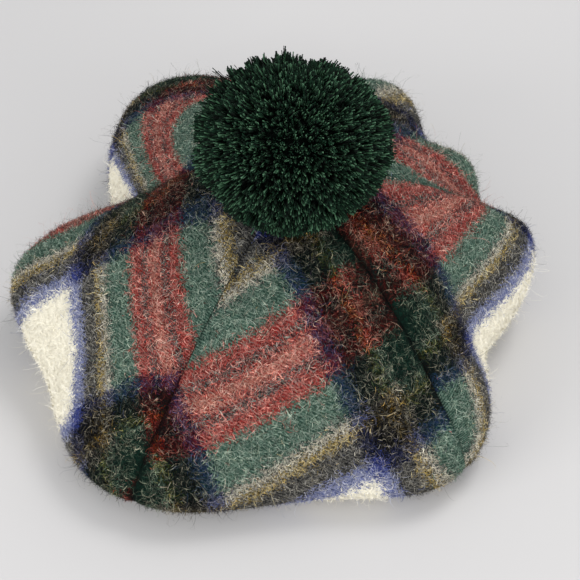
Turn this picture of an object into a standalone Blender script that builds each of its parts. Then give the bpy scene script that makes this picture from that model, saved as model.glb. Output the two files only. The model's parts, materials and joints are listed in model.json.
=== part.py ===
"""A gored woollen tam with drooping folds, a headband and a yarn pompom.

Metres, +Z up. The cap is shaped round the axis of its headband, which stands on a surface, and
is then moved so that the middle of its box's floor is the origin. Bearings are degrees round
that axis, from the front (-Y) towards the right (+X).
"""

import math
import random
from collections import namedtuple

import bmesh
import bpy
from mathutils import Matrix, Vector

# Driving sizes
CROWN_REACH = 0.155          # middle of the crown to a plain rim, seen from above
CROWN_HEIGHT = 0.125         # top of the crown above the surface
RIM_HEIGHT = 0.036           # widest line of a plain rim above the surface
RIM_LIFT = 0.004             # lowest line of the folds above the surface
RIM_HOLD = 0.7               # share of a crease's dip that the rim doesn't take
ROLL_DEPTH = 0.75            # most that a fold hangs below its rim, against its width
CLOTH = 0.0025               # brushed wool cloth
SEAM_DIP = 0.0022            # how deep the cloth is drawn in along a seam
SEAM_WIDTH = 0.0065          # half the width of that groove
MIDDLE_HOLE = 0.005          # radius left open where the gores meet
HEAD_OPENING = 0.182         # across the inside of the headband
BAND_WALL = 0.0035
BAND_HEIGHT = 0.024
POMPOM_WIDTH = 0.114
POMPOM_HEIGHT = 0.088
POMPOM_SINK = 0.012          # how far the crown flattens the pompom's underside
LOCK_LENGTH = 0.011          # length of a plain yarn lock on the pompom
GAP = 0.0003                 # between pieces that are sewn together

# Finish
TARTAN_COLOR = (0.20, 0.10, 0.09)
BAND_COLOR = (0.05, 0.07, 0.06)
YARN_COLOR = (0.012, 0.07, 0.035)
ROUGHNESS = 0.95

# How finely the cloth is cut into faces, and how the yarn locks differ
GORE_COLUMNS = 13
ROWS_PER_SECTION = 2
BAND_SIDES = 60
SEAM_COLUMN = 0.03           # share of a gore taken by the narrow column beside each seam
POMPOM_DETAIL = 3
LOCK_TIP = 0.55              # width of a lock's tip against its root
LOCK_SPREAD = 0.35           # share by which the locks differ in length
LOCK_SEED = 4
EDGE_ANGLE = 50              # degrees between faces from which an edge is sharp
NORMAL_TURN = 0.4            # degrees to either side that a cloth normal is measured over
NORMAL_STEP = 0.1            # rows to either side that it is measured over
LOBE_GROWTH = 2              # power with which a lobe spreads out over the crown
HEIGHT_STEP = 0.001          # rows to which a height on the crown is found

# The gores, each from its own seam to the next one round the crown
Gore = namedtuple("Gore", "name seam")
GORES = (
    Gore("crown_gore_left", -117),
    Gore("crown_gore_front", -32),
    Gore("crown_gore_right", 39),
    Gore("crown_gore_back_right", 108),
    Gore("crown_gore_back_left", 180),
)

# The folds of the rim. Each row is a lobe and the crease on its right.
# reach: the lobe's share of CROWN_REACH; height: its share of RIM_HEIGHT
# cut: what the crease takes off the reach; dip: its depth as a share of the crown's rise
# run: how far up the crown it climbs, as a share of the reach; sharp: 1 for a V, 0 for a hollow
Fold = namedtuple("Fold", "lobe reach height crease cut dip run sharp")
FOLDS = (
    Fold(-41, 1.13, 0.62, 3, 0.15, 0.05, 0.40, 0.0),
    Fold(36, 1.03, 0.60, 69, 0.22, 0.32, 0.55, 0.6),
    Fold(101, 0.97, 1.40, 116, 0.12, 0.24, 0.70, 0.7),
    Fold(128, 0.93, 1.45, 141, 0.13, 0.16, 0.35, 0.5),
    Fold(158, 1.12, 1.45, 184, 0.16, 0.16, 0.45, 0.6),
    Fold(208, 1.19, 1.50, 243, 0.30, 0.26, 0.75, 0.5),
    Fold(273, 1.11, 1.30, 294, 0.10, 0.14, 0.35, 0.5),
)

# The crown from its middle to the widest line of the rim
# out: share of the reach; fall: share of the rise from the rim to the top
Crown = namedtuple("Crown", "out fall")
CROWN = (
    Crown(0.00, 0.000),
    Crown(0.16, 0.012),
    Crown(0.33, 0.095),
    Crown(0.51, 0.250),
    Crown(0.68, 0.450),
    Crown(0.83, 0.660),
    Crown(0.95, 0.840),
    Crown(1.00, 1.000),
)

# The underside from the rim to the top of the headband
# out: share of the way from the band to the rim; drop: share of the way down to the lowest line
# seat: share of the way from there to the top of the band
Under = namedtuple("Under", "out drop seat")
UNDER = (
    Under(0.985, 0.40, 0.00),
    Under(0.90, 0.80, 0.00),
    Under(0.76, 1.00, 0.00),
    Under(0.55, 1.00, 0.18),
    Under(0.30, 1.00, 0.66),
    Under(0.08, 1.00, 1.00),
    Under(-0.04, 1.00, 1.00),
)

# Tufts that stand out of the pompom: their bearing, their angle above level, what they add
# to a lock as a share of its length
Tuft = namedtuple("Tuft", "bearing rise extra")
TUFTS = (
    Tuft(186, 42, 0.6),
    Tuft(225, 30, 0.7),
    Tuft(245, 20, 0.7),
    Tuft(150, 35, 0.3),
    Tuft(30, 10, 0.3),
)
TUFT_SPREAD = 14             # degrees from a tuft's middle to its edge


def make_material(name, color):
    """A plain Principled finish for one kind of piece."""
    material = bpy.data.materials.new(name)
    material.use_nodes = True
    shader = material.node_tree.nodes["Principled BSDF"]
    shader.inputs["Base Color"].default_value = (*color, 1)
    shader.inputs["Roughness"].default_value = ROUGHNESS
    shader.inputs["Metallic"].default_value = 0
    return material


def add_object(name, mesh_data, material):
    """Writes a bmesh to a smooth object with its own material."""
    bmesh.ops.recalc_face_normals(mesh_data, faces=mesh_data.faces)
    mesh = bpy.data.meshes.new(name)
    mesh_data.to_mesh(mesh)
    mesh_data.free()
    mesh.materials.append(material)
    mesh.shade_smooth()
    mesh.set_sharp_from_angle(angle=math.radians(EDGE_ANGLE))
    piece = bpy.data.objects.new(name, mesh)
    bpy.context.collection.objects.link(piece)
    return piece


def ease(share):
    """A smooth step from 0 to 1."""
    share = min(max(share, 0.0), 1.0)
    return share * share * (3 - 2 * share)


def place(bearing, radius, height):
    """The point at a bearing, a distance from the axis and a height."""
    turn = math.radians(bearing)
    return Vector((radius * math.sin(turn), -radius * math.cos(turn), height))


def rim_between(bearing):
    """(reach, height) of the rim with no creases in it, eased from lobe to lobe."""
    for left, right in zip(FOLDS, FOLDS[1:] + FOLDS[:1]):
        span = (right.lobe - left.lobe) % 360
        gone = (bearing - left.lobe) % 360
        if gone <= span:
            share = ease(gone / span)
            reach = left.reach + (right.reach - left.reach) * share
            height = left.height + (right.height - left.height) * share
            return CROWN_REACH * reach, RIM_HEIGHT * height
    raise ValueError("no lobe beside this bearing")


def crease_at(bearing):
    """(fold, strength) of the crease between the two lobes beside a bearing."""
    for left, right in zip(FOLDS, FOLDS[1:] + FOLDS[:1]):
        span = (right.lobe - left.lobe) % 360
        gone = (bearing - left.lobe) % 360
        if gone > span:
            continue
        middle = (left.crease - left.lobe) % 360
        away = (middle - gone) / middle if gone < middle else (gone - middle) / (span - middle)
        steep = 1 - math.sin(away * math.pi / 2)
        hollow = math.cos(away * math.pi / 2) ** 2
        return left, left.sharp * steep + (1 - left.sharp) * hollow
    raise ValueError("no crease beside this bearing")


def smooth_row(table, row):
    """A table's columns at a row number with a fraction, on a curve through its rows."""
    last = len(table) - 1
    first = min(int(row), last - 1)
    t = row - first
    before, here = table[max(first - 1, 0)], table[first]
    there, after = table[first + 1], table[min(first + 2, last)]
    values = []
    for a, b, c, d in zip(before, here, there, after):
        bend = (2 * a - 5 * b + 4 * c - d) * t * t + (3 * b - a - 3 * c + d) * t ** 3
        values.append(b + 0.5 * ((c - a) * t + bend))
    return type(here)(*values)


def crown_point(bearing, row):
    """A point of the crown's outer face, on a row number of CROWN."""
    section = smooth_row(CROWN, row)
    reach, rim = rim_between(bearing)
    fold, strength = crease_at(bearing)
    climb = strength * ease((section.out - 1 + fold.run) / fold.run)
    lobe = section.out ** LOBE_GROWTH
    reach = CROWN_REACH + (reach - CROWN_REACH) * lobe
    reach -= CROWN_REACH * fold.cut * climb
    rise = CROWN_HEIGHT - RIM_HEIGHT
    rim = RIM_HEIGHT + (rim - RIM_HEIGHT) * lobe
    height = CROWN_HEIGHT - (CROWN_HEIGHT - rim) * section.fall
    height -= rise * fold.dip * climb * (1 - RIM_HOLD * section.fall)
    return place(bearing, MIDDLE_HOLE + (reach - MIDDLE_HOLE) * section.out, height)


def under_point(bearing, row):
    """A point of the underside, on a row number that starts with 0 at the rim."""
    rim = crown_point(bearing, len(CROWN) - 1)
    rim_row = Under(1.0, 0.0, 0.0)
    section = smooth_row((rim_row,) + UNDER, row)
    band = HEAD_OPENING / 2 + BAND_WALL
    room = math.hypot(rim.x, rim.y) - band
    radius = band + room * section.out
    lowest = max(RIM_LIFT, rim.z - ROLL_DEPTH * room)
    height = rim.z + (lowest - rim.z) * section.drop
    height += (BAND_HEIGHT + GAP - lowest) * section.seat
    return place(bearing, radius, height)


def outer_point(bearing, row):
    """A point of the cloth's outer face, with rows running from the middle to the band."""
    rim_row = len(CROWN) - 1
    if row <= rim_row:
        return crown_point(bearing, row)
    return under_point(bearing, min(row - rim_row, len(UNDER)))


def seam_depth(bearing, radius):
    """How far the cloth is drawn in at a bearing, close to a seam."""
    nearest = min(abs((bearing - gore.seam + 180) % 360 - 180) for gore in GORES)
    away = math.radians(nearest) * radius / SEAM_WIDTH
    return SEAM_DIP * math.exp(-away * away)


def cloth_points(bearing, row):
    """(outer, inner) points of the cloth, a wall apart along its normal."""
    above = max(row - NORMAL_STEP, 0)
    below = min(row + NORMAL_STEP, len(CROWN) - 1 + len(UNDER))
    across = outer_point(bearing + NORMAL_TURN, row) - outer_point(bearing - NORMAL_TURN, row)
    along = outer_point(bearing, below) - outer_point(bearing, above)
    normal = along.cross(across).normalized()
    outer = outer_point(bearing, row)
    outer -= normal * seam_depth(bearing, math.hypot(outer.x, outer.y))
    return outer, outer - normal * CLOTH


def gore_bearings(gore, following):
    """The columns of one gore, with a narrow one beside each seam."""
    span = (following.seam - gore.seam) % 360
    inner = [SEAM_COLUMN + (1 - 2 * SEAM_COLUMN) * i / GORE_COLUMNS for i in range(GORE_COLUMNS + 1)]
    return [gore.seam + span * share for share in [0.0, *inner, 1.0]]


def make_gore(gore, following, material):
    """One petal of cloth from the crown's middle over the rim to the headband."""
    bearings = gore_bearings(gore, following)
    count = (len(CROWN) - 1 + len(UNDER)) * ROWS_PER_SECTION
    rows = [i / ROWS_PER_SECTION for i in range(count + 1)]
    shape = bmesh.new()
    points = {}
    for column, bearing in enumerate(bearings):
        side = {0: 1, len(bearings) - 1: -1}.get(column, 0)
        for line, row in enumerate(rows):
            outer, inner = cloth_points(bearing, row)
            shift = place(bearing + 90, side * GAP / 2, 0)
            points["outer", column, line] = shape.verts.new(outer + shift)
            points["inner", column, line] = shape.verts.new(inner + shift)
    last_column, last_line = len(bearings) - 1, len(rows) - 1
    for skin in ("outer", "inner"):
        for column in range(last_column):
            for line in range(last_line):
                shape.faces.new((
                    points[skin, column, line],
                    points[skin, column + 1, line],
                    points[skin, column + 1, line + 1],
                    points[skin, column, line + 1],
                ))
    border = [(column, 0) for column in range(last_column)]
    border += [(last_column, line) for line in range(last_line)]
    border += [(column, last_line) for column in range(last_column, 0, -1)]
    border += [(0, line) for line in range(last_line, 0, -1)]
    for spots in zip(border, border[1:] + border[:1]):
        low, high = sorted(spots, key=lambda spot: (spot[1], spot[0]))
        slant = (points["outer", *low], points["inner", *high])
        shape.faces.new((*slant, points["outer", *high]))
        shape.faces.new((*slant, points["inner", *low]))
    return add_object(gore.name, shape, material)


def make_headband(material):
    """The ring of cloth that goes round the head, flat where it stands."""
    inner, outer = HEAD_OPENING / 2, HEAD_OPENING / 2 + BAND_WALL
    ring = [(inner, 0), (outer, 0), (outer, BAND_HEIGHT), (inner, BAND_HEIGHT)]
    shape = bmesh.new()
    rounds = []
    for side in range(BAND_SIDES):
        bearing = 360 * side / BAND_SIDES
        rounds.append([shape.verts.new(place(bearing, radius, z)) for radius, z in ring])
    for here, there in zip(rounds, rounds[1:] + rounds[:1]):
        for corner in range(len(ring)):
            after = (corner + 1) % len(ring)
            shape.faces.new((here[corner], there[corner], there[after], here[after]))
    return add_object("headband", shape, material)


def tuft_extra(direction):
    """What the tufts add to a lock that points in a direction."""
    extra = 0.0
    for tuft in TUFTS:
        rise = math.radians(tuft.rise)
        towards = place(tuft.bearing, math.cos(rise), math.sin(rise))
        away = math.degrees(direction.angle(towards))
        extra = max(extra, tuft.extra * (1 - ease(away / TUFT_SPREAD)))
    return extra


def crown_below(point):
    """The height of the crown's plain outer face under a point."""
    bearing = math.degrees(math.atan2(point.x, -point.y))
    radius = math.hypot(point.x, point.y)
    low, high = 0.0, float(len(CROWN) - 1)
    while high - low > HEIGHT_STEP:
        row = (low + high) / 2
        cloth = crown_point(bearing, row)
        if math.hypot(cloth.x, cloth.y) < radius:
            low = row
        else:
            high = row
    return crown_point(bearing, low).z


def make_pompom(material):
    """A squat ball of cut yarn, in locks that are one body with its core."""
    luck = random.Random(LOCK_SEED)
    root = POMPOM_WIDTH / 2 - LOCK_LENGTH
    squash = POMPOM_HEIGHT / POMPOM_WIDTH
    seat = POMPOM_HEIGHT / 2 - POMPOM_SINK
    middle = Vector((0, 0, CROWN_HEIGHT + seat))
    shape = bmesh.new()
    bmesh.ops.create_icosphere(shape, subdivisions=POMPOM_DETAIL, radius=root)
    lowest = -seat / squash / (root + LOCK_LENGTH)
    free = [face for face in shape.faces if face.calc_center_median().normalized().z > lowest]
    locks = bmesh.ops.extrude_discrete_faces(shape, faces=free)["faces"]
    for lock in locks:
        way = lock.calc_center_median().normalized()
        length = LOCK_LENGTH * (1 - LOCK_SPREAD * luck.random() + tuft_extra(way))
        centre = way * (root + length)
        for corner in lock.verts:
            corner.co = centre + (corner.co - way * root) * LOCK_TIP
    for corner in shape.verts:
        corner.co.z *= squash
        corner.co += middle
        corner.co.z = max(corner.co.z, crown_below(corner.co) + GAP)
    return add_object("pompom", shape, material)


def stand_at_origin(pieces):
    """Moves the pieces so that the middle of their box's floor is the origin."""
    corners = [corner.co for piece in pieces for corner in piece.data.vertices]
    low = [min(corner[axis] for corner in corners) for axis in range(3)]
    high = [max(corner[axis] for corner in corners) for axis in range(3)]
    middle = Vector(((low[0] + high[0]) / 2, (low[1] + high[1]) / 2, low[2]))
    for piece in pieces:
        piece.data.transform(Matrix.Translation(-middle))


def main():
    for item in list(bpy.data.objects):
        bpy.data.objects.remove(item, do_unlink=True)
    pieces = []
    for gore, following in zip(GORES, GORES[1:] + GORES[:1]):
        tartan = make_material(gore.name + "_tartan", TARTAN_COLOR)
        pieces.append(make_gore(gore, following, tartan))
    pieces.append(make_headband(make_material("headband_cloth", BAND_COLOR)))
    pieces.append(make_pompom(make_material("pompom_yarn", YARN_COLOR)))
    stand_at_origin(pieces)


main()
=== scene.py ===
# %% [markdown]
# # A brushed tartan tam with a yarn pompom
#
# The cap is sewn from five petals of woollen cloth, which meet under a pompom and end on a
# headband. It stands on its headband, on a plain pale floor. The solids of the cap come first,
# because every piece that is made here sits where its solid is.

import json
import math

import bmesh
import bpy
import numpy as np
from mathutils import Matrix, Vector

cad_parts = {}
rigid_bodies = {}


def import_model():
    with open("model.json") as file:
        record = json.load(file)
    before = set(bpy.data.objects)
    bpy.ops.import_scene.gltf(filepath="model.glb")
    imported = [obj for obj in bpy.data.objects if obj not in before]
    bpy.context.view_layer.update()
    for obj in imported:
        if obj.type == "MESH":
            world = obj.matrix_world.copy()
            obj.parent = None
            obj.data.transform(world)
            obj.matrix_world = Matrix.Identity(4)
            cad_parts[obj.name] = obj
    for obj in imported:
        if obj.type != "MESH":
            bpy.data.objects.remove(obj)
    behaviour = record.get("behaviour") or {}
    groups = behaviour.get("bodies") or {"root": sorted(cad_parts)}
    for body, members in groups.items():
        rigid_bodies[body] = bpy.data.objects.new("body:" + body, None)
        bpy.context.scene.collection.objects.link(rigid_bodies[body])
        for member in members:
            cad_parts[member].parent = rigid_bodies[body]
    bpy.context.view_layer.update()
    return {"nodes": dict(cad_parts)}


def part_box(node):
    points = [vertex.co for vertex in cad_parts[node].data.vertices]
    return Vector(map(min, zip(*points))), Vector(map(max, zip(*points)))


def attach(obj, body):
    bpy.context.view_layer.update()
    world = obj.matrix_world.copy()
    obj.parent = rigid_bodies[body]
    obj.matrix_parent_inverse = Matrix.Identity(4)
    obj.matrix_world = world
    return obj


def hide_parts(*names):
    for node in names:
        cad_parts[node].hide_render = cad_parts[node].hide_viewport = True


for item in list(bpy.data.objects):
    bpy.data.objects.remove(item, do_unlink=True)
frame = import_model()

# %% [markdown]
# The camera looks down on the cap at 50 degrees with a long lens, as in the photograph. It is
# made before the pieces, because the frame of the picture depends on nothing else.

# %% Camera
LOOK_AT = Vector((0.0095, -0.0083, 0.031))
CAMERA_RISE = math.radians(50)
CAMERA_AWAY = 1.05
CAMERA_LENS = 106.25


def make_camera():
    """Makes the scene's camera, in front of the cap and above it."""
    data = bpy.data.cameras.new("camera")
    data.lens = CAMERA_LENS
    camera = bpy.data.objects.new("camera", data)
    bpy.context.collection.objects.link(camera)
    back = Vector((0, -math.cos(CAMERA_RISE), math.sin(CAMERA_RISE)))
    camera.location = LOOK_AT + back * CAMERA_AWAY
    camera.rotation_euler = (math.pi / 2 - CAMERA_RISE, 0, 0)
    bpy.context.scene.camera = camera


make_camera()
print("camera:", CAMERA_LENS, "mm lens,", CAMERA_AWAY, "m away")

# %% [markdown]
# A petal starts as the outer face of its solid. The solid is a closed wall of cloth, so a copy
# of it is opened: its triangles are merged, the faces are gathered from the top of the crown
# outwards over every edge that isn't a sharp one, and what isn't gathered is deleted. The cut
# edges of the cloth are the sharp ones, so what is left is the outer face alone.

# %% Opening a solid
EDGE_ANGLE = math.radians(45)
SAME_PLACE = 1e-5          # corners this near each other are merged, in metres
TOP_FACE = 0.9             # a face of the crown's top points up at least this much
JOIN_ANGLE = 3.1           # any two triangles may join, in radians
REFINE = 2                 # levels of refinement


def only(piece):
    """Makes one piece the only selected one, and active."""
    bpy.ops.object.select_all(action="DESELECT")
    piece.select_set(True)
    bpy.context.view_layer.objects.active = piece


def copy_of(node, name):
    """A merged copy of a CAD node's mesh, as a new piece."""
    mesh = frame["nodes"][node].data.copy()
    mesh.materials.clear()
    piece = bpy.data.objects.new(name, mesh)
    bpy.context.collection.objects.link(piece)
    only(piece)
    bpy.ops.object.mode_set(mode="EDIT")
    bpy.ops.mesh.select_all(action="SELECT")
    bpy.ops.mesh.remove_doubles(threshold=SAME_PLACE)
    bpy.ops.object.mode_set(mode="OBJECT")
    return piece


def keep_outer_face(piece):
    """Keeps the faces that join the top of the crown with no sharp edge between."""
    shape = bmesh.new()
    shape.from_mesh(piece.data)
    top = max(shape.verts, key=lambda corner: corner.co.z)
    kept = {face for face in top.link_faces if face.normal.z > TOP_FACE}
    edge = list(kept)
    while edge:
        for side in edge.pop().edges:
            if side.calc_face_angle(math.pi) > EDGE_ANGLE:
                continue
            new = [face for face in side.link_faces if face not in kept]
            kept.update(new)
            edge.extend(new)
    rest = [face for face in shape.faces if face not in kept]
    bmesh.ops.delete(shape, geom=rest, context="FACES")
    shape.to_mesh(piece.data)
    shape.free()


def make_four_sided(piece):
    """Joins pairs of triangles and refines the sheet with smooth corners."""
    only(piece)
    bpy.ops.object.mode_set(mode="EDIT")
    bpy.ops.mesh.select_all(action="SELECT")
    bpy.ops.mesh.tris_convert_to_quads(face_threshold=JOIN_ANGLE, shape_threshold=JOIN_ANGLE)
    bpy.ops.object.mode_set(mode="OBJECT")
    bpy.ops.object.modifier_add(type="SUBSURF")
    refine = piece.modifiers[-1]
    refine.levels = refine.render_levels = REFINE
    bpy.ops.object.modifier_apply(modifier=refine.name)


PETALS = ("left", "front", "right", "back_right", "back_left")
petals = {}
for name in PETALS:
    petals[name] = copy_of("crown_gore_" + name, "petal_" + name)
    keep_outer_face(petals[name])
    make_four_sided(petals[name])
    print(name, "outer face:", len(petals[name].data.polygons), "faces")

# %% [markdown]
# Tartan runs straight in the flat cloth and bends with it over the cap, so each petal is laid
# flat again before it is coloured. Unwrapping with the least stretch does that, much as a
# dressmaker takes a pattern from a finished seam. The flat petal is then scaled to real metres
# and turned so that its outward middle line runs down the page.

# %% Laying the petals flat
BAND_AXIS = Vector((0.01154, -0.00833, 0))
MIDDLE_RING = 0.001        # corners this near the innermost one are the crown's middle
AIM_RING = (0.08, 0.12)    # the middle of this ring, in metres from the axis, is straight down


def flat_points(mesh):
    """The cloth coordinates of every face corner, as an array."""
    flat = np.zeros(len(mesh.loops) * 2)
    mesh.uv_layers["cloth"].data.foreach_get("uv", flat)
    return flat.reshape(-1, 2)


def corner_array(mesh):
    """The place of every face corner, as an array."""
    points = np.zeros(len(mesh.vertices) * 3)
    mesh.vertices.foreach_get("co", points)
    which = np.zeros(len(mesh.loops), int)
    mesh.loops.foreach_get("vertex_index", which)
    return points.reshape(-1, 3)[which]


def lay_flat(piece):
    """Unwraps a petal to metres, with the crown's middle at the top."""
    mesh = piece.data
    mesh.uv_layers.new(name="cloth")
    only(piece)
    bpy.ops.object.mode_set(mode="EDIT")
    bpy.ops.mesh.select_all(action="SELECT")
    bpy.ops.uv.unwrap(method="MINIMUM_STRETCH", margin=0.0)
    bpy.ops.object.mode_set(mode="OBJECT")
    flat, solid = flat_points(mesh), corner_array(mesh)
    starts = np.array([face.loop_start for face in mesh.polygons])
    sides = [(starts + k, starts + (k + 2) % 4) for k in (0, 1)]
    true = sum(np.linalg.norm(solid[a] - solid[b], axis=1).sum() for a, b in sides)
    drawn = sum(np.linalg.norm(flat[a] - flat[b], axis=1).sum() for a, b in sides)
    flat *= true / drawn
    radius = np.hypot(solid[:, 0] - BAND_AXIS.x, solid[:, 1] - BAND_AXIS.y)
    flat -= flat[radius < radius.min() + MIDDLE_RING].mean(axis=0)
    down = flat[(radius > AIM_RING[0]) & (radius < AIM_RING[1])].mean(axis=0)
    turn = math.atan2(down[0], -down[1])
    cos, sin = math.cos(turn), math.sin(turn)
    flat = flat @ np.array(((cos, -sin), (sin, cos)))
    mesh.uv_layers["cloth"].data.foreach_set("uv", flat.ravel())
    size = flat.max(axis=0) - flat.min(axis=0)
    area = sum(face.area for face in mesh.polygons)
    print(piece.name, "flat:", np.round(size, 3), "m,", round(area, 4), "m2")
    return size.tolist(), area


flat_sizes, flat_areas = {}, {}
for name, petal in petals.items():
    flat_sizes[name], flat_areas[name] = lay_flat(petal)

# %% [markdown]
# A sett is the repeat of a tartan. It is counted in threads from one pivot to the other, then
# mirrored, and runs the same in warp and weft. Each petal was cut at its own place and angle, and
# was eased in the sewing, so a thread's number is a smooth curve over the flat petal: ten factors
# for the powers of the place across and down it, up to the third, for warp and for weft. Such a
# curve runs wild past the places that it was made for, so beyond them it goes straight on, as
# threads do. The numbers go to a second UV map, where one full sett is one unit.

# %% Sett numbers
HALF_SETT = 95             # threads from the middle of the cream ground to the pink pivot
LAYS = {
    "front": (
        (64, 538, 374, -2176, -4313, 626, -12050, -10237, -13942, 1905),
        (157, -535, 798, 676, -3081, 1898, 8002, 8679, -11929, 5061),
    ),
    "left": (
        (156, 41, 495, -1596, -2467, -4753, -3331, -18922, -1218, -12781),
        (44, -72, 114, -4369, 8659, 1374, 25816, -10852, 16013, 3606),
    ),
    "right": (
        (65, -304, 432, -791, 9828, 1201, 20729, 2810, 38429, 3505),
        (94, 299, -445, 4240, 153, -7560, 15723, 43233, -9083, -13685),
    ),
    "back_right": (
        (137, -552, 596, 534, 618, 59, 0, 0, 0, 0),
        (62, 510, 338, -82, -87, 1129, 0, 0, 0, 0),
    ),
    "back_left": (
        (98, -28, -1224, -20532, 1559, -11199, -29351, -73669, -1551, -15618),
        (-76, -193, -566, 2643, 3607, 2151, 20509, 3068, 6614, 5507),
    ),
}
CURVED = {                 # where the threads bend, across and down, in metres
    "front": ((-0.086, 0.081), (-0.176, -0.027)),
    "left": ((-0.034, 0.129), (-0.187, -0.031)),
    "right": ((-0.085, 0.062), (-0.162, -0.047)),
    "back_right": ((-0.046, 0.049), (-0.186, -0.066)),
    "back_left": ((-0.020, 0.040), (-0.160, -0.085)),
}


def number_threads(piece, lay, curved):
    """Adds the UV map that gives each place of the cloth its warp and weft number."""
    across, down = flat_points(piece.data).T
    a, d = np.clip(across, *curved[0]), np.clip(down, *curved[1])
    none, one = np.zeros_like(a), np.ones_like(a)
    terms = np.stack((one, a, d, a**2, a * d, d**2, a**3, a**2 * d, a * d**2, d**3))
    by_a = np.stack((none, one, none, 2 * a, d, none, 3 * a**2, 2 * a * d, d**2, none))
    by_d = np.stack((none, none, one, none, a, 2 * d, none, a**2, 2 * a * d, 3 * d**2))
    terms = terms + by_a * (across - a) + by_d * (down - d)
    numbers = np.array(lay) @ terms / (2 * HALF_SETT)
    sett = piece.data.uv_layers.new(name="sett")
    sett.data.foreach_set("uv", numbers.T.ravel())


for name, petal in petals.items():
    number_threads(petal, LAYS[name], CURVED[name])
print("threads in a full sett:", 2 * HALF_SETT)

# %% [markdown]
# Brushed cloth is never quite even: it swells a little between the seams and has soft dents. A
# Displace modifier with a broad cloud pattern gives that in world space, so that two petals
# still meet along their seam.

# %% Soft dents
DENT_SIZE = 0.045
DENT_DEPTH = 0.0024
DENT_LEVEL = 0.6           # the gray of the clouds that leaves the cloth where it is


def apply_modifier(piece, kind, **settings):
    """Adds one modifier to a piece and applies it."""
    only(piece)
    bpy.ops.object.modifier_add(type=kind)
    modifier = piece.modifiers[-1]
    for key, value in settings.items():
        setattr(modifier, key, value)
    bpy.ops.object.modifier_apply(modifier=modifier.name)


dents = bpy.data.textures.new("dents", "CLOUDS")
dents.noise_scale = DENT_SIZE
for petal in petals.values():
    apply_modifier(petal, "DISPLACE", texture=dents, texture_coords="GLOBAL",
                   strength=DENT_DEPTH, mid_level=DENT_LEVEL)
print("dented:", len(petals), "petals")

# %% [markdown]
# The seams pull the cloth in and their nap is short and in shade, so they read as dark lines; that
# shade is painted. How near a place is to a seam goes to the petal as an attribute, for the
# painted seam shade in its material.

# %% Nearness to the seams
SEAMS = (-117, -32, 39, 108, 180)        # bearings from the front, in degrees
# Painted shade: how far the dark line painted along a seam reaches, in metres.
SEAM_SHADE_REACH = 0.0022                       # how far a seam darkens the cloth, in metres


def seam_distance(points):
    """(metres to the nearest seam, direction away from it) of points on the crown."""
    from_axis = points[:, :2] - np.array(BAND_AXIS[:2])
    radius = np.hypot(from_axis[:, 0], from_axis[:, 1])
    bearing = np.degrees(np.arctan2(from_axis[:, 0], -from_axis[:, 1]))
    gaps = (bearing[:, None] - np.array(SEAMS)[None] + 180) % 360 - 180
    nearest = gaps[np.arange(len(gaps)), np.abs(gaps).argmin(axis=1)]
    turn = np.radians(bearing)
    side = np.stack((np.cos(turn), np.sin(turn), np.zeros_like(turn)), axis=1)
    return np.radians(np.abs(nearest)) * radius, side * np.sign(nearest)[:, None]


def mark_seams(piece):
    """Stores the nearness to a seam, from 0 far away to 1 on it."""
    points = np.zeros(len(piece.data.vertices) * 3)
    piece.data.vertices.foreach_get("co", points)
    far = seam_distance(points.reshape(-1, 3))[0]
    near = piece.data.attributes.new("seam", "FLOAT", "POINT")
    near.data.foreach_set("value", np.exp(-(far / SEAM_SHADE_REACH) ** 2))


for petal in petals.values():
    mark_seams(petal)
print("seams at", SEAMS, "degrees")

# %% [markdown]
# The nap of the cloth is a fur of fine wool, raised by brushing, and the pompom is a ball of yarn
# fibres. Hair particles can't leave this scene as solid pieces, so both are meshes: one small
# shape of a few triangles, repeated for every hair. Arrays make that quick.

# %% Meshes of many hairs
def unit(vectors):
    """Vectors of length one."""
    return vectors / np.maximum(np.linalg.norm(vectors, axis=-1, keepdims=True), 1e-9)


def triangle_mesh(name, points, corners):
    """A mesh object from arrays of points and of triangle corners."""
    mesh = bpy.data.meshes.new(name)
    mesh.vertices.add(len(points))
    mesh.vertices.foreach_set("co", points.ravel())
    mesh.loops.add(corners.size)
    mesh.loops.foreach_set("vertex_index", corners.ravel().astype(np.int32))
    mesh.polygons.add(len(corners))
    mesh.polygons.foreach_set("loop_start", np.arange(len(corners), dtype=np.int32) * 3)
    mesh.update(calc_edges=True)
    mesh.shade_smooth()
    piece = bpy.data.objects.new(name, mesh)
    bpy.context.collection.objects.link(piece)
    return piece


def repeat_corners(corners, count, points_each):
    """The triangle corners of one hair, repeated for every hair."""
    firsts = np.arange(count)[:, None, None] * points_each
    return (np.array(corners)[None] + firsts).reshape(-1, 3)


def color_hairs(piece, tone, mix, along):
    """Stores each hair's tone and mix, and how far along it a point is."""
    values = np.ones((len(tone), len(along), 4))
    values[:, :, 0] = tone[:, None]
    values[:, :, 1] = mix[:, None]
    values[:, :, 2] = np.array(along)[None]
    layer = piece.data.color_attributes.new(name="hair", type="FLOAT_COLOR", domain="POINT")
    layer.data.foreach_set("color", values.ravel())


# %% [markdown]
# A hair has to start on the cloth. The triangles of a petal are drawn by lot, the large ones more
# often, and each root gets the normal and the thread numbers of its place. The underside, which
# the folds hide, gets fewer.

# %% Roots on the cloth
UNDER_FACE = -0.3          # a face that points down more than this is on the underside
UNDER_SHARE = 0.3          # how much of the nap grows there


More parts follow.
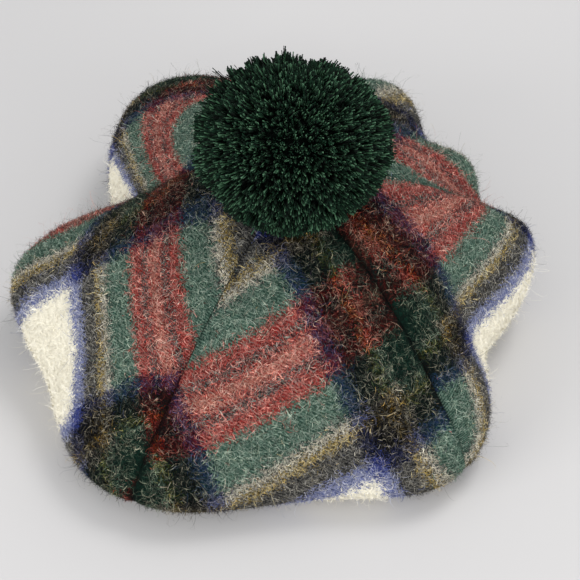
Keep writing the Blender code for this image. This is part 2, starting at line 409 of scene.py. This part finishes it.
class Skin:
    """The outer face of a petal as triangles that hairs can be rooted on."""

    def __init__(self, piece):
        mesh = piece.data
        mesh.calc_loop_triangles()
        loops = np.zeros(len(mesh.loop_triangles) * 3, int)
        mesh.loop_triangles.foreach_get("loops", loops)
        loops = loops.reshape(-1, 3)
        normals = np.zeros(len(mesh.loops) * 3)
        mesh.corner_normals.foreach_get("vector", normals)
        sett = np.zeros(len(mesh.loops) * 2)
        mesh.uv_layers["sett"].data.foreach_get("uv", sett)
        self.points = corner_array(mesh)[loops]
        self.normals = normals.reshape(-1, 3)[loops]
        self.sett = sett.reshape(-1, 2)[loops]
        sides = self.points[:, 1:] - self.points[:, :1]
        area = np.linalg.norm(np.cross(sides[:, 0], sides[:, 1]), axis=1) / 2
        self.total = area.sum()
        under = self.normals.mean(axis=1)[:, 2] < UNDER_FACE
        self.share = area * np.where(under, UNDER_SHARE, 1.0)
        self.share /= self.share.sum()

    def roots(self, count, luck):
        """(points, normals, thread numbers) of roots spread over the skin."""
        which = luck.choice(len(self.share), count, p=self.share)
        a, b = np.sqrt(luck.random(count)), luck.random(count)
        parts = np.stack((1 - a, a * (1 - b), a * b), axis=1)[:, :, None]
        return ((self.points[which] * parts).sum(axis=1),
                unit((self.normals[which] * parts).sum(axis=1)),
                (self.sett[which] * parts).sum(axis=1))


# %% [markdown]
# Each hair is a narrow strip of short lengths that ends in a point. It starts on the cloth, leans
# over and curls, with its broad side outwards. Brushed wool lies in small tufts, so hairs that
# are rooted close together share most of their direction and tone.

# %% Hairs that lean and curl
TUFT = 0.0015              # hairs rooted in one cell of this size are a tuft
SEAM_PULL = (0.9, 0.003)   # how much a seam turns the hairs away, and how far it reaches
SEAM_SHORT = (0.005, 0.4)  # hairs nearer a seam than this are shorter, down to this share
LEAST_CURL = 0.05
ARCH = 2.4                 # how far through its arch a hair's tip is, in radians
TAPER = 0.6
FLOOR_GAP = 0.0012         # no hair hangs lower than this


def share_in_tufts(roots, luck):
    """Four values for each hair that the hairs of one small tuft have in common."""
    cells = np.floor(roots / TUFT).astype(int)
    which = np.unique(cells, axis=0, return_inverse=True)[1].ravel()
    return luck.random((which.max() + 1, 4))[which]


def bend_hairs(roots, normals, aim, length, rise, curl, steps):
    """The lines of hairs that leave their roots, lean away from seams and curl."""
    far, away = seam_distance(roots)
    free = np.clip(far / SEAM_SHORT[0], SEAM_SHORT[1], 1.0)
    lean = unit(np.cross(normals, aim))
    lean = unit(lean + away * (SEAM_PULL[0] * np.exp(-far / SEAM_PULL[1]))[:, None])
    side = np.cross(normals, lean)
    share = np.linspace(0, 1, steps + 1)[None, :]
    turn = np.where(np.abs(curl) < LEAST_CURL, LEAST_CURL, curl)[:, None]
    forth = np.sin(turn * share) / turn
    sideways = (1 - np.cos(turn * share)) / turn
    height = rise[:, None] * np.sin(ARCH * share)
    path = (lean[:, None] * forth[:, :, None] + side[:, None] * sideways[:, :, None]
            + normals[:, None] * height[:, :, None])
    lines = roots[:, None] + path * (length * free)[:, None, None]
    lines[:, :, 2] = np.maximum(lines[:, :, 2], FLOOR_GAP)
    return lines


def make_strips(name, lines, widths, normals, sett, tone, mix):
    """One mesh of tapered strips along the lines, coloured by their thread numbers."""
    hairs, rings = lines.shape[:2]
    across = unit(np.cross(np.gradient(lines, axis=1), normals[:, None]))
    taper = np.linspace(1, 0, rings) ** TAPER
    half = across * widths[:, None, None] * taper[None, :, None] / 2
    pairs = np.stack((lines - half, lines + half), axis=2)[:, :-1].reshape(hairs, -1, 3)
    points = np.concatenate((pairs, lines[:, -1:]), axis=1)
    corners = []
    for first in range(0, 2 * (rings - 2), 2):
        corners += [(first, first + 1, first + 3), (first, first + 3, first + 2)]
    corners.append((2 * rings - 4, 2 * rings - 3, 2 * rings - 2))
    each = 2 * rings - 1
    piece = triangle_mesh(name, points.reshape(-1, 3), repeat_corners(corners, hairs, each))
    layer = piece.data.uv_layers.new(name="sett")
    layer.data.foreach_set("uv", np.repeat(sett, len(corners) * 3, axis=0).ravel())
    along = [step / (rings - 1) for step in range(rings - 1) for _ in (0, 1)] + [1.0]
    color_hairs(piece, tone, mix, along)
    return piece


# %% [markdown]
# The nap of a petal has three coats: short hairs that cover the cloth, longer ones that curl over
# them, and a few that stand away and soften the outline. A hair keeps the thread numbers of its
# root, but brushing has dragged it a little way from its thread, some hairs further than others.

# %% Nap
COATS = (                  # hairs on the whole crown, length, width, steps, curl and rise
    (136000, 0.0036, 0.00038, 2, 0.8, 0.42),
    (24000, 0.0075, 0.00020, 5, 2.2, 0.45),
    (3500, 0.0105, 0.00013, 5, 2.6, 0.95),
)
LEAST_RISE = 0.05
LENGTHS = (0.5, 1.6)       # the shortest and the longest hair of a coat, as shares
WIDTHS = (0.6, 1.25)
AIM_SHAKE = 0.22           # how much the hairs of one tuft differ in direction
TUFT_TONE = 0.55           # how much of its tone a hair has from its tuft
# Painted shade on the hairs at a seam: how much lower their tone is, and how far it reaches.
SEAM_SHADE = (0.75, 0.0030)   # how much darker hairs at a seam are, and how far it reaches
DRAGGED = (0.12, 4.5, 1.2)    # the share of hairs dragged far, and threads dragged far and near


def make_nap(name, skin, share, seed):
    """The brushed nap of one petal, with all its coats in one piece."""
    luck = np.random.default_rng(seed)
    coats = []
    for count, middle, wide, steps, bend, lift in COATS:
        count = int(count * share)
        roots, normals, sett = skin.roots(count, luck)
        length = middle * luck.lognormal(0, 0.3, count).clip(*LENGTHS)
        shared = share_in_tufts(roots, luck)
        aim = shared[:, :3] - 0.5 + luck.normal(0, AIM_SHAKE, roots.shape)
        lines = bend_hairs(roots, normals, aim, length, luck.uniform(LEAST_RISE, lift, count),
                           luck.normal(0, bend, count), steps)
        tone = shared[:, 3] * TUFT_TONE + luck.random(count) * (1 - TUFT_TONE)
        # Painted seam shade: hairs near a seam get a lower tone.
        near = np.exp(-(seam_distance(roots)[0] / SEAM_SHADE[1]) ** 2)
        tone *= 1 - SEAM_SHADE[0] * near
        drag = np.where(luck.random(count) < DRAGGED[0], DRAGGED[1], DRAGGED[2])[:, None]
        sett = sett + luck.normal(0, 1, sett.shape) * drag / (2 * HALF_SETT)
        widths = wide * luck.uniform(*WIDTHS, count)
        coats.append(make_strips(name, lines, widths, normals, sett, tone, luck.random(count)))
    bpy.ops.object.select_all(action="DESELECT")
    for coat in coats:
        coat.select_set(True)
    bpy.context.view_layer.objects.active = coats[0]
    bpy.ops.object.join()
    return coats[0]


skins = {name: Skin(petal) for name, petal in petals.items()}
crown_area = sum(skin.total for skin in skins.values())
naps = {}
for number, (name, skin) in enumerate(skins.items()):
    naps[name] = make_nap("nap_" + name, skin, skin.total / crown_area, 20 + number)
    print(naps[name].name, len(naps[name].data.polygons), "triangles")

# %% [markdown]
# The cloth gets its thickness only after the nap has been rooted on its outer face.

# %% Thickness of the cloth
CLOTH = 0.0022

for name, petal in petals.items():
    apply_modifier(petal, "SOLIDIFY", thickness=CLOTH, offset=-1, use_rim=True)
    petal.data.shade_smooth()
    print(name, len(petal.data.polygons), "faces")

# %% [markdown]
# The pompom is a great many cut yarn ends round a tied middle. A sphere would show no ends. Each
# yarn end frays into a few fibres, so every fibre is its own thin wedge: it starts as a point deep
# inside and ends blunt, as cut yarn does. The ends gather in locks with dark clefts between them,
# and a few locks at the upper left stand out further.

# %% Pompom
POMPOM_MIDDLE = np.array((BAND_AXIS.x, BAND_AXIS.y, 0.157))
POMPOM_HALF = np.array((0.0578, 0.0578, 0.0438))
POMPOM_LOWEST = 0.1262
YARN_ENDS = 7400
FIBRES = 6                 # fibres of one yarn end
FIBRE_WIDTH = 0.0008
FIBRE_DEPTH = 0.22         # how deep a fibre starts below its tip, as a share
LOCKS = 150
GATHER = 0.35              # how far an end leans to the middle of its lock, as a share
UNEVEN_ENDS = (0.10, 0.06)    # how much shorter some ends are, and some whole locks
LOCK_TUFT_WIDTH = 9        # degrees
CORE_SIZE = 0.80
LOCK_TUFTS = (             # bearing and rise in degrees, and how much further it stands out
    (188, 42, 0.17), (208, 36, 0.10), (228, 30, 0.17), (247, 20, 0.15), (150, 35, 0.06),
)


def spread_on_sphere(count, luck):
    """Even directions on a sphere, shaken a little."""
    turn = np.pi * (3 - math.sqrt(5)) * np.arange(count)
    level = 1 - 2 * (np.arange(count) + 0.5) / count
    flat = np.sqrt(1 - level**2)
    even = np.stack((flat * np.cos(turn), flat * np.sin(turn), level), axis=1)
    return unit(even + luck.normal(0, 1.2 / math.sqrt(count), even.shape))


def tuft_reach(ways, luck):
    """How much further the ends near a tuft stand out, some more than others."""
    extra = np.zeros(len(ways))
    for bearing, rise, more in LOCK_TUFTS:
        turn, up = math.radians(bearing), math.radians(rise)
        middle = (math.sin(turn) * math.cos(up), -math.cos(turn) * math.cos(up), math.sin(up))
        apart = np.degrees(np.arccos(np.clip(ways @ np.array(middle), -1, 1)))
        extra += more * np.exp(-(apart / LOCK_TUFT_WIDTH) ** 2) * luck.random(len(ways)) ** 1.5
    return extra


def make_wedges(name, roots, tips, widths):
    """Three-sided wedges that run from a pointed root to a blunt tip."""
    way = unit(tips - roots)
    side = unit(np.cross(way, np.array((0.31, 0.22, 0.93))))
    other = np.cross(way, side)
    ring = []
    for angle in np.radians((0, 120, 240)):
        out = side * math.cos(angle) + other * math.sin(angle)
        ring.append(tips + out * (widths / 2)[:, None])
    points = np.stack([roots] + ring, axis=1)
    corners = [(0, 2, 1), (0, 3, 2), (0, 1, 3), (1, 2, 3)]
    return triangle_mesh(name, points.reshape(-1, 3), repeat_corners(corners, len(roots), 4))


def make_pompom():
    """The yarn ends of the pompom."""
    luck = np.random.default_rng(5)
    ways = spread_on_sphere(YARN_ENDS, luck)
    locks = spread_on_sphere(LOCKS, luck)
    lock = np.argmax(ways @ locks.T, axis=1)
    aim = unit(ways + (locks[lock] - ways) * luck.uniform(0.0, GATHER, YARN_ENDS)[:, None]
               + luck.normal(0, 0.035, ways.shape))
    reach = 0.99 - UNEVEN_ENDS[0] * luck.random(YARN_ENDS) ** 1.4
    reach = reach - UNEVEN_ENDS[1] * luck.random(LOCKS)[lock] + tuft_reach(ways, luck)
    fibre = np.repeat(np.arange(YARN_ENDS), FIBRES)
    count = len(fibre)
    roots = (ways * (reach - FIBRE_DEPTH)[:, None])[fibre] * POMPOM_HALF
    roots += luck.normal(0, 0.0008, (count, 3))
    tips = (aim * reach[:, None])[fibre] * POMPOM_HALF
    tips *= luck.uniform(0.975, 1.015, count)[:, None]
    tips += luck.normal(0, 0.00065, (count, 3))
    for points in (roots, tips):
        points += POMPOM_MIDDLE
        points[:, 2] = np.maximum(points[:, 2], POMPOM_LOWEST)
    widths = FIBRE_WIDTH * luck.uniform(0.6, 1.3, count)
    piece = make_wedges("pompom_yarn", roots, tips, widths)
    color_hairs(piece, luck.random(count), luck.random(YARN_ENDS)[fibre], (0, 1, 1, 1))
    return piece


def make_core():
    """A near-black ball inside the yarn ends: painted shade deep in the pompom."""
    bpy.ops.mesh.primitive_ico_sphere_add(subdivisions=4, radius=1,
                                          location=POMPOM_MIDDLE.tolist())
    core = bpy.context.object
    core.scale = (POMPOM_HALF * CORE_SIZE).tolist()
    bpy.ops.object.transform_apply(location=True, scale=True)
    core.name = core.data.name = "pompom_core"
    core.data.shade_smooth()
    return core


pompom = make_pompom()
core = make_core()
print("pompom:", len(pompom.data.polygons), "triangles")

# %% [markdown]
# The headband is hidden in use: a plain woven ring, folded at both edges. A cylinder is given
# its wall, its edges are rounded, and its foot stays flat, because the cap stands on it.

# %% Headband
BAND_LOW, BAND_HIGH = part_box("headband")
BAND_RADIUS = (BAND_HIGH.x - BAND_LOW.x) / 2
BAND_WALL = 0.0035
BAND_EDGE = 0.0008         # the rounding of its edges


def make_headband():
    """The ring that the petals are sewn to."""
    height = BAND_HIGH.z - BAND_LOW.z
    bpy.ops.mesh.primitive_cylinder_add(vertices=120, radius=BAND_RADIUS, depth=height,
                                        end_fill_type="NOTHING",
                                        location=(BAND_AXIS.x, BAND_AXIS.y, height / 2))
    piece = bpy.context.object
    piece.name = piece.data.name = "band"
    bpy.ops.object.transform_apply(location=True)
    apply_modifier(piece, "SOLIDIFY", thickness=BAND_WALL, offset=-1, use_rim=True)
    apply_modifier(piece, "BEVEL", width=BAND_EDGE, segments=3, limit_method="ANGLE")
    piece.data.shade_smooth()
    return piece


headband = make_headband()
print("headband:", len(headband.data.polygons), "faces")

# %% [markdown]
# A tartan is written as a list of stripes, each with its count of threads. This one has a cream
# ground, a blue, black and yellow border, and green round red.

# %% Tartan colours
CREAM = (252, 247, 231)
BLUE = (78, 92, 168)
BLACK = (32, 33, 38)
YELLOW = (222, 176, 60)
WHITE = (205, 196, 172)
PINK = (226, 100, 82)       # the pale pivot between red threads
GREEN = (34, 86, 70)
RED = (218, 28, 26)
SETT = ((36, CREAM), (8, BLUE), (12, BLACK), (2, YELLOW), (2, BLACK), (2, WHITE), (2, BLACK),
        (16, GREEN), (7, RED), (3, BLACK), (3, RED), (2, PINK))


def linear(color):
    """A colour of 0 to 255 as the linear values that a shader takes."""
    shares = [value / 255 for value in color]
    return [s / 12.92 if s < 0.04045 else ((s + 0.055) / 1.055) ** 2.4 for s in shares] + [1.0]


print("stripes:", len(SETT), "in", sum(threads for threads, color in SETT), "threads")


# %% [markdown]
# Materials are trees of nodes. A small helper adds a node, sets or joins its inputs and hands
# back its output, so that a material reads like a calculation.

# %% Nodes
class Nodes:
    """A short way to add and join the nodes of one material."""

    def __init__(self, name):
        self.material = bpy.data.materials.new(name)
        self.material.use_nodes = True
        self.tree = self.material.node_tree
        self.shader = self.tree.nodes["Principled BSDF"]

    def put(self, socket, value):
        """Joins a socket to another one or sets it to a constant."""
        if isinstance(value, bpy.types.NodeSocket):
            self.tree.links.new(value, socket)
        else:
            socket.default_value = value

    def add(self, kind, inputs, **settings):
        """A new node with its inputs and settings."""
        node = self.tree.nodes.new(kind)
        for key, value in settings.items():
            setattr(node, key, value)
        for place, value in inputs.items():
            self.put(node.inputs[place], value)
        return node

    def math(self, operation, *values):
        """A calculation with one, two or three values."""
        return self.add("ShaderNodeMath", dict(enumerate(values)), operation=operation).outputs[0]

    def mix(self, share, a, b):
        """Two colours mixed."""
        return self.add("ShaderNodeMix", {0: share, 6: a, 7: b}, data_type="RGBA").outputs[2]

    def power(self, color, exponent):
        """A colour raised to a power: above 1 it gets darker."""
        return self.add("ShaderNodeGamma", {"Color": color, "Gamma": exponent}).outputs[0]

    def noise(self, where, scale, detail=2.0, distortion=0.0):
        """Noise over a position in metres."""
        return self.add("ShaderNodeTexNoise", {"Vector": where, "Scale": scale, "Detail": detail,
                                               "Distortion": distortion})

    def place(self):
        """The position on the piece in metres."""
        return self.add("ShaderNodeTexCoord", {}).outputs["Object"]

    def ramp(self, value, stops, interpolation="LINEAR"):
        """A colour ramp over a value."""
        node = self.add("ShaderNodeValToRGB", {0: value})
        ramp = node.color_ramp
        ramp.interpolation = interpolation
        ramp.elements[0].position, ramp.elements[0].color = stops[0]
        ramp.elements.remove(ramp.elements[1])
        for position, color in stops[1:]:
            ramp.elements.new(position).color = color
        return node.outputs["Color"]

    def into(self, **values):
        """Values for the shader, by the names of its inputs."""
        for name, value in values.items():
            self.put(self.shader.inputs[name.replace("_", " ")], value)


# %% [markdown]
# One set of nodes gives the tartan. It reads the thread numbers, folds them at the pivots, and
# looks up the stripe of the warp and of the weft. Where two threads cross, brushed wool looks
# darker than their mean, so the two colours are mixed as powers. Pale wool lets light through,
# so shade counts for less in it: a cream stripe stays cream between its hairs.

# %% Tartan pattern
CROSSING = 0.22            # the power that crossing threads are mixed with


def stripe(nodes, number):
    """The colour of the stripe that holds a thread number."""
    stops, count = [], 0
    for threads, color in SETT:
        stops.append((count / HALF_SETT, linear(color)))
        count += threads
    folded = nodes.math("PINGPONG", number, 0.5)
    return nodes.ramp(nodes.math("MULTIPLY", folded, 2.0), stops, "CONSTANT")


def crossed(nodes, share, numbers):
    """Warp and weft mixed as powers, so that the darker thread counts for more."""
    split = nodes.add("ShaderNodeSeparateXYZ", {0: numbers})
    threads = [nodes.power(stripe(nodes, split.outputs[side]), CROSSING) for side in (0, 1)]
    return nodes.power(nodes.mix(share, *threads), 1 / CROSSING)


def shaded(nodes, color, light):
    """A colour under a light of 0 to 1 that pale wool takes less of, as it lets light through."""
    blue = nodes.add("ShaderNodeSeparateColor", {0: color}).outputs[2]
    level = nodes.math("MULTIPLY_ADD", nodes.math("SUBTRACT", 1.0, blue), light, blue)
    gray = nodes.add("ShaderNodeCombineColor", {0: level, 1: level, 2: level}).outputs[0]
    return nodes.add("ShaderNodeMix", {0: 1.0, 6: color, 7: gray}, data_type="RGBA",
                     blend_type="MULTIPLY").outputs[2]


def hair_values(nodes):
    """(tone, mix, along) that each hair carries."""
    hair = nodes.add("ShaderNodeAttribute", {}, attribute_name="hair").outputs["Color"]
    return nodes.add("ShaderNodeSeparateColor", {0: hair}).outputs[0:3]


# %% [markdown]
# Between the hairs one sees the felted surface: a mat of curled fibres over gaps in shade. Thin
# lines where two noises pass through their middle value look like such fibres; the gaps between
# them are painted shade, as they get little light.

# %% Felted cloth
MAT_SCALES = (430.0, 800.0)
MAT_LINE = 11.0            # the larger, the thinner the fibres
SHAKE_SCALE = 600.0
SHAKE = (0.11, 0.11, 0)    # how far the threads stray, in setts
WALE = 0.15                # how much the twill lines show
CLOTH_LIGHT = (0.35, 0.02)   # of the fibres above the gaps, and of the gaps
UNEVEN_SCALE = 60.0
# The least light that the painted seam shade leaves.
SEAM_LEAST_LIGHT = 0.04          # the darkest that a seam gets


def cloth_material():
    """Tartan with faint twill lines and matted fibres, painted shade in the gaps and the seams."""
    nodes = Nodes("brushed_tartan")
    numbers = nodes.add("ShaderNodeUVMap", {}, uv_map="sett").outputs[0]
    place = nodes.place()
    shake = nodes.noise(place, SHAKE_SCALE).outputs["Color"]
    shake = nodes.add("ShaderNodeVectorMath", {0: shake, 1: (0.5, 0.5, 0.5)},
                      operation="SUBTRACT").outputs[0]
    shaken = nodes.add("ShaderNodeVectorMath", {0: shake, 1: SHAKE, 2: numbers},
                       operation="MULTIPLY_ADD").outputs[0]
    split = nodes.add("ShaderNodeSeparateXYZ", {0: numbers})
    slant = nodes.math("ADD", split.outputs[0], split.outputs[1])
    wale = nodes.math("SINE", nodes.math("MULTIPLY", slant, 2 * math.pi * HALF_SETT))
    share = nodes.math("MULTIPLY_ADD", wale, WALE, 0.5)
    color = crossed(nodes, share, shaken)
    fibres = []
    for scale in MAT_SCALES:
        value = nodes.noise(place, scale, 1.0, 1.2).outputs[0]
        off = nodes.math("ABSOLUTE", nodes.math("SUBTRACT", value, 0.5))
        fibres.append(nodes.math("SUBTRACT", 1.0, nodes.math("MULTIPLY", off, MAT_LINE)))
    mat = nodes.math("MAXIMUM", nodes.math("MAXIMUM", *fibres), 0.0)
    # Painted seam shade: the nearness to a seam, broken by a noise, takes light away.
    seam = nodes.add("ShaderNodeAttribute", {}, attribute_name="seam").outputs["Fac"]
    # Painted shade: the fibres of the mat get more light than the gaps between them.
    light = nodes.math("MULTIPLY_ADD", mat, *CLOTH_LIGHT)
    uneven = nodes.math("MULTIPLY_ADD", nodes.noise(place, UNEVEN_SCALE).outputs[0], 2.4, -0.4)
    seam = nodes.math("MULTIPLY_ADD", nodes.math("MULTIPLY", seam, uneven), -0.9, 1.0)
    light = nodes.math("MULTIPLY", light, nodes.math("MAXIMUM", seam, SEAM_LEAST_LIGHT))
    height = nodes.math("MULTIPLY_ADD", wale, WALE, mat)
    bump = nodes.add("ShaderNodeBump", {"Strength": 0.5, "Distance": 0.0006, "Height": height})
    color = shaded(nodes, nodes.power(color, 1.2), light)
    nodes.into(Base_Color=color, Roughness=0.95, Specular_IOR_Level=0.1,
               Normal=bump.outputs[0])
    return nodes.material


# %% [markdown]
# A hair takes one mix of the two threads it came from. The brightest-toned hairs are mixed
# towards a pale colour, a painted sheen, and every hair is darker at its root, in painted shade.
# A noise darkens the pits between the tufts, where little light gets in: painted shade too.

# %% Nap colours
# Painted sheen: the pale colour that the brightest-toned hairs are mixed towards.
SHEEN_HAIR = (190, 180, 155)
SHEEN_SHARE = (3.5, 0.7)    # the power of the tone that makes a hair pale, and how pale it gets
HAIR_LIGHT = (3.0, 2.8, 0.02)   # the power of the tone, the gain and the least light
HAIR_MIX = (0.6, 0.2)
TUFT_SCALE = 480.0
TUFT_RANGE = {1: 0.36, 2: 0.64, 3: 0.15, 4: 1.4}
BRIGHTEST = 1.3


def nap_material():
    """The nap: each hair takes one mix of the threads it came from, in its own tone."""
    nodes = Nodes("tartan_nap")
    numbers = nodes.add("ShaderNodeUVMap", {}, uv_map="sett").outputs[0]
    tone, mix, along = hair_values(nodes)
    color = crossed(nodes, nodes.math("MULTIPLY_ADD", mix, *HAIR_MIX), numbers)
    blue = nodes.add("ShaderNodeSeparateColor", {0: color}).outputs[2]
    sheen = nodes.math("MULTIPLY", nodes.math("POWER", tone, SHEEN_SHARE[0]), SHEEN_SHARE[1])
    sheen = nodes.math("MULTIPLY", sheen, nodes.math("SUBTRACT", 1.0, blue))
    color = nodes.mix(sheen, nodes.power(color, 1.1), linear(SHEEN_HAIR))
    light = nodes.math("POWER", tone, HAIR_LIGHT[0])
    light = nodes.math("MULTIPLY_ADD", light, *HAIR_LIGHT[1:])
    # Painted shade: each hair is darker towards its root.
    light = nodes.math("MULTIPLY", light, nodes.math("MULTIPLY_ADD", along, 0.5, 0.5))
    # Painted shade in the pits between the tufts, and painted light on the tufts.
    tufts = nodes.noise(nodes.place(), TUFT_SCALE, 2.0, 0.6).outputs[0]
    tufts = nodes.add("ShaderNodeMapRange", {0: tufts, **TUFT_RANGE}).outputs[0]
    light = nodes.math("MINIMUM", nodes.math("MULTIPLY", light, tufts), BRIGHTEST)
    nodes.into(Base_Color=shaded(nodes, color, light),
               Roughness=0.8, Specular_IOR_Level=0.08)
    return nodes.material


# %% [markdown]
# The yarn is dark green, with painted light and shade: its fibres range at random from near black
# to a pale highlight, and are darker towards the middle of the pompom, a painted shade, and in
# some locks. The headband is plain dark wool, and the floor a pale matt surface.

# %% Plain materials
# From painted shade (near black) through the yarn's own green to a painted highlight.
YARN_COLOR_AND_PAINTED_LIGHT = ((0.0, (2, 10, 6)), (0.7, (19, 52, 35)), (1.0, (88, 122, 96)))
WOOL_SHADES = ((0.3, (22, 30, 28)), (0.7, (58, 66, 60)))
GRAIN_SCALE = 900.0


def yarn_material():
    """Dark green yarn, with painted light and shade."""
    nodes = Nodes("green_yarn")
    tone, mix, along = hair_values(nodes)
    color = nodes.ramp(tone, [(place, linear(shade)) for place, shade in YARN_COLOR_AND_PAINTED_LIGHT])
    # Painted shade: a fibre is darker towards its root, deep in the pompom; some yarn ends are
    # darker at random.
    depth_shade_and_tone = nodes.math("MULTIPLY_ADD", along, -1.0, 2.0)
    depth_shade_and_tone = nodes.math("MULTIPLY_ADD", mix, 0.25, depth_shade_and_tone)
    nodes.into(Base_Color=nodes.power(color, depth_shade_and_tone), Roughness=0.8, Specular_IOR_Level=0.12)
    return nodes.material


def plain_material(name, color):
    """One even matt colour."""
    nodes = Nodes(name)
    nodes.into(Base_Color=linear(color), Roughness=0.95, Specular_IOR_Level=0.1)
    return nodes.material


def band_material():
    """Plain dark wool with a fine grain."""
    nodes = Nodes("dark_wool")
    grain = nodes.noise(nodes.place(), GRAIN_SCALE, 3.0).outputs[0]
    bump = nodes.add("ShaderNodeBump", {"Strength": 0.5, "Distance": 0.0006, "Height": grain})
    color = nodes.ramp(grain, [(place, linear(shade)) for place, shade in WOOL_SHADES])
    nodes.into(Base_Color=color, Roughness=0.95, Normal=bump.outputs[0])
    return nodes.material


tartan, nap_color = cloth_material(), nap_material()
for petal in petals.values():
    petal.data.materials.append(tartan)
for nap in naps.values():
    nap.data.materials.append(nap_color)
pompom.data.materials.append(yarn_material())
# The core's near-black colour is painted shade among the yarn ends.
core.data.materials.append(plain_material("pompom_shade", (3, 10, 6)))
headband.data.materials.append(band_material())
print("materials:", [material.name for material in bpy.data.materials])

# %% [markdown]
# Each piece now takes the place of its solid and rides on the one body of the cap. The petals and
# the headband are sheets of cloth.

# %% Places
for name, petal in petals.items():
    gore = "crown_gore_" + name
    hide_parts(gore)
    for piece in (petal, naps[name]):
        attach(piece, "root")
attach(headband, "root")
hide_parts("headband")
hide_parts("pompom")
for piece in (pompom, core):
    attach(piece, "root")

# %% [markdown]
# A plain pale floor and soft light, as in a small photo studio: two broad lights stand low at the
# front, so that the cream checks on the sides are bright, one hangs behind, and a pale surround
# fills the shadows. The plain view transform shows dyed wool in its own strong colours.

# %% Floor and light
FLOOR_SIZE = 8.0
FLOOR_COLOR = (192, 190, 189)
LIT = (0, 0, 0.05)         # the point that the lights are turned to
SURROUND = (0.95, 0.97, 1.0, 1)
SURROUND_STRENGTH = 0.80


def add_light(name, place, size, power):
    """A square area light at a place, turned towards the cap."""
    light = bpy.data.lights.new(name, "AREA")
    light.size, light.energy = size, power
    lamp = bpy.data.objects.new(name, light)
    bpy.context.collection.objects.link(lamp)
    lamp.location = place
    lamp.rotation_euler = (Vector(LIT) - Vector(place)).to_track_quat("-Z", "Y").to_euler()


bpy.ops.mesh.primitive_plane_add(size=FLOOR_SIZE)
floor = bpy.context.object
floor.name = floor.data.name = "floor"
floor.data.materials.append(plain_material("pale_floor", FLOOR_COLOR))
add_light("left", (-1.2, -0.9, 0.55), 0.9, 16)
add_light("right", (1.0, -1.0, 0.5), 0.9, 11)
add_light("back", (0.6, 0.5, 1.4), 0.6, 10)
world = bpy.data.worlds.new("surround")
bpy.context.scene.world = world
world.use_nodes = True
world.node_tree.nodes["Background"].inputs["Color"].default_value = SURROUND
world.node_tree.nodes["Background"].inputs["Strength"].default_value = SURROUND_STRENGTH
bpy.context.scene.view_settings.view_transform = "Standard"
print("lights:", [light.name for light in bpy.data.lights])
